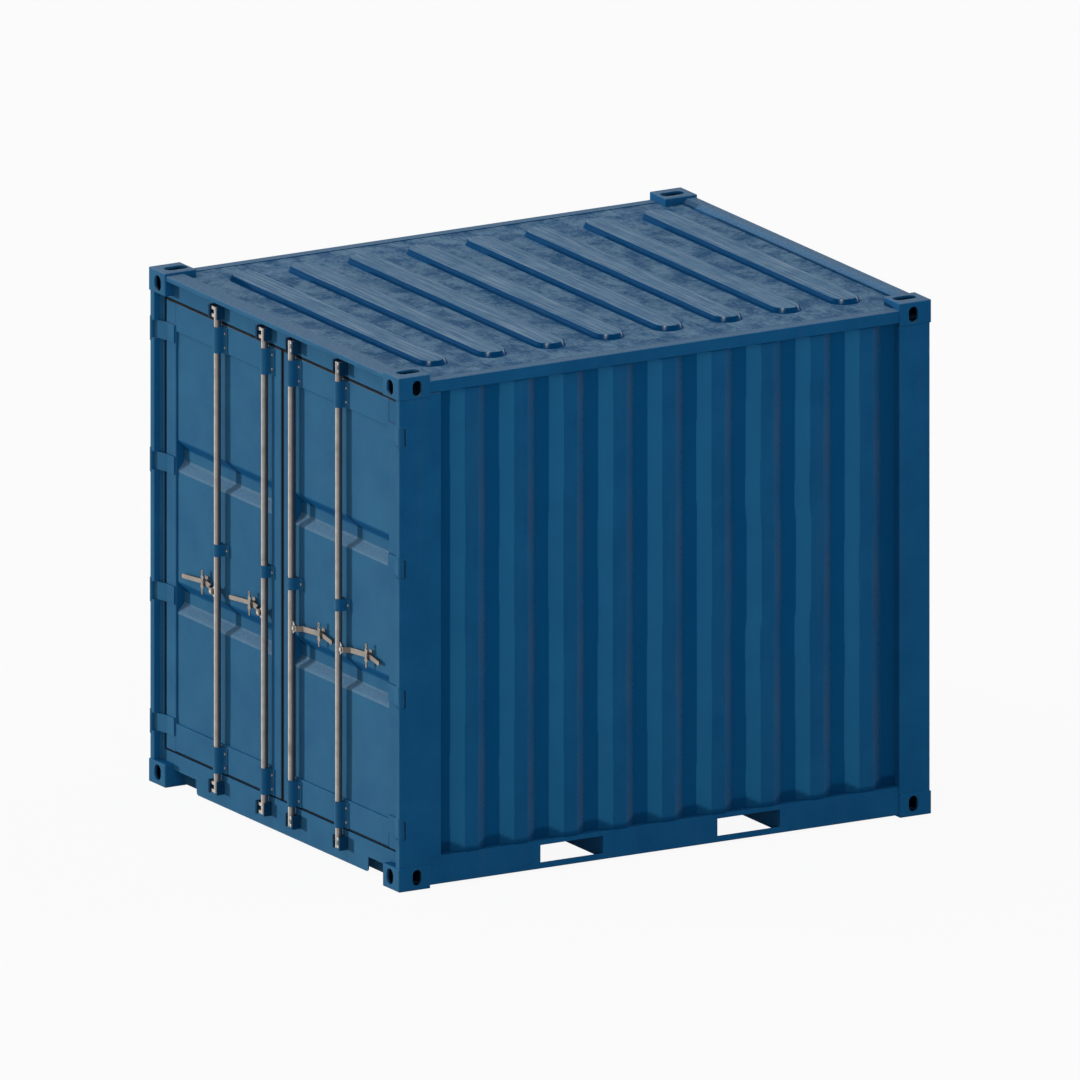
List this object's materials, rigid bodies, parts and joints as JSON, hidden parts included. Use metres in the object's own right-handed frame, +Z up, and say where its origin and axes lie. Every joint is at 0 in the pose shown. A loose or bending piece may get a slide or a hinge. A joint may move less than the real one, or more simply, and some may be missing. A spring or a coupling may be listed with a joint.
{
  "type": "shipping container",
  "caption": "Ten-foot steel freight container with corrugated walls, ribbed roof, hinged double doors, turning locking bars and lifting handles.",
  "frame": {"origin": "centre of the footprint, on the ground under the bottom castings", "axes": "+Z up, +Y along the length towards the rear wall, doors face -Y, +X to the right seen from the doors"},
  "size_m": [2.438, 2.991, 2.591],
  "materials": {
    "container_paint": "satin",
    "roof_paint": "weathered satin",
    "zinc_steel": "dull galvanised",
    "gasket": "matt",
    "floor_boards": "worn plywood"
  },
  "bodies": {
    "frame": {"top_corner_castings": "container_paint", "bottom_corner_castings": "container_paint", "left_door_post": "container_paint", "right_door_post": "container_paint", "left_rear_post": "container_paint", "right_rear_post": "container_paint", "door_header": "container_paint", "door_sill": "container_paint", "rear_top_rail": "container_paint", "rear_bottom_rail": "container_paint", "left_top_rail": "container_paint", "right_top_rail": "container_paint", "left_bottom_rail": "container_paint", "right_bottom_rail": "container_paint", "fork_pockets": "container_paint", "cross_members": "container_paint", "floor_boards": "floor_boards", "roof_panel": "roof_paint", "left_side_wall": "container_paint", "right_side_wall": "container_paint", "rear_wall": "container_paint", "left_hinge_pins": "zinc_steel", "right_hinge_pins": "zinc_steel", "header_cam_keepers": "container_paint", "sill_cam_keepers": "container_paint"},
    "left_door": {"left_door_frame": "container_paint", "left_door_panel": "container_paint", "left_door_gasket": "gasket", "left_door_hinges": "container_paint", "left_bar_guides": "container_paint", "left_handle_catches": "zinc_steel"},
    "right_door": {"right_door_frame": "container_paint", "right_door_panel": "container_paint", "right_door_gasket": "gasket", "right_door_hinges": "container_paint", "right_bar_guides": "container_paint", "right_handle_catches": "zinc_steel"},
    "left_outer_bar": {"left_outer_bar": "zinc_steel"},
    "left_inner_bar": {"left_inner_bar": "zinc_steel"},
    "right_inner_bar": {"right_inner_bar": "zinc_steel"},
    "right_outer_bar": {"right_outer_bar": "zinc_steel"},
    "left_outer_handle": {"left_outer_handle": "zinc_steel"},
    "left_inner_handle": {"left_inner_handle": "zinc_steel"},
    "right_inner_handle": {"right_inner_handle": "zinc_steel"},
    "right_outer_handle": {"right_outer_handle": "zinc_steel"}
  },
  "joints": [
    {"name": "left_door_hinge", "type": "hinge", "parent": "frame", "child": "left_door", "pos_m": [-1.206, -1.482, 1.312], "axis": [0, 0, -1], "range_deg": [0, 265]},
    {"name": "right_door_hinge", "type": "hinge", "parent": "frame", "child": "right_door", "pos_m": [1.206, -1.482, 1.312], "axis": [0, 0, 1], "range_deg": [0, 265]},
    {"name": "left_outer_bar_turn", "type": "hinge", "parent": "left_door", "child": "left_outer_bar", "pos_m": [-0.59001, -1.471, 1.3], "axis": [0, 0, -1], "range_deg": [-90, 0]},
    {"name": "left_inner_bar_turn", "type": "hinge", "parent": "left_door", "child": "left_inner_bar", "pos_m": [-0.131, -1.471, 1.3], "axis": [0, 0, -1], "range_deg": [-90, 0]},
    {"name": "right_inner_bar_turn", "type": "hinge", "parent": "right_door", "child": "right_inner_bar", "pos_m": [0.131, -1.471, 1.3], "axis": [0, 0, 1], "range_deg": [-90, 0]},
    {"name": "right_outer_bar_turn", "type": "hinge", "parent": "right_door", "child": "right_outer_bar", "pos_m": [0.59001, -1.471, 1.3], "axis": [0, 0, 1], "range_deg": [-90, 0]},
    {"name": "left_outer_handle_lift", "type": "hinge", "parent": "left_outer_bar", "child": "left_outer_handle", "pos_m": [-0.63001, -1.48, 1.08978], "axis": [0, -1, 0], "range_deg": [-45, 0]},
    {"name": "left_inner_handle_lift", "type": "hinge", "parent": "left_inner_bar", "child": "left_inner_handle", "pos_m": [-0.171, -1.48, 1.08978], "axis": [0, -1, 0], "range_deg": [-45, 0]},
    {"name": "right_inner_handle_lift", "type": "hinge", "parent": "right_inner_bar", "child": "right_inner_handle", "pos_m": [0.171, -1.48, 1.08978], "axis": [0, 1, 0], "range_deg": [-45, 0]},
    {"name": "right_outer_handle_lift", "type": "hinge", "parent": "right_outer_bar", "child": "right_outer_handle", "pos_m": [0.63001, -1.48, 1.08978], "axis": [0, 1, 0], "range_deg": [-45, 0]}
  ]
}
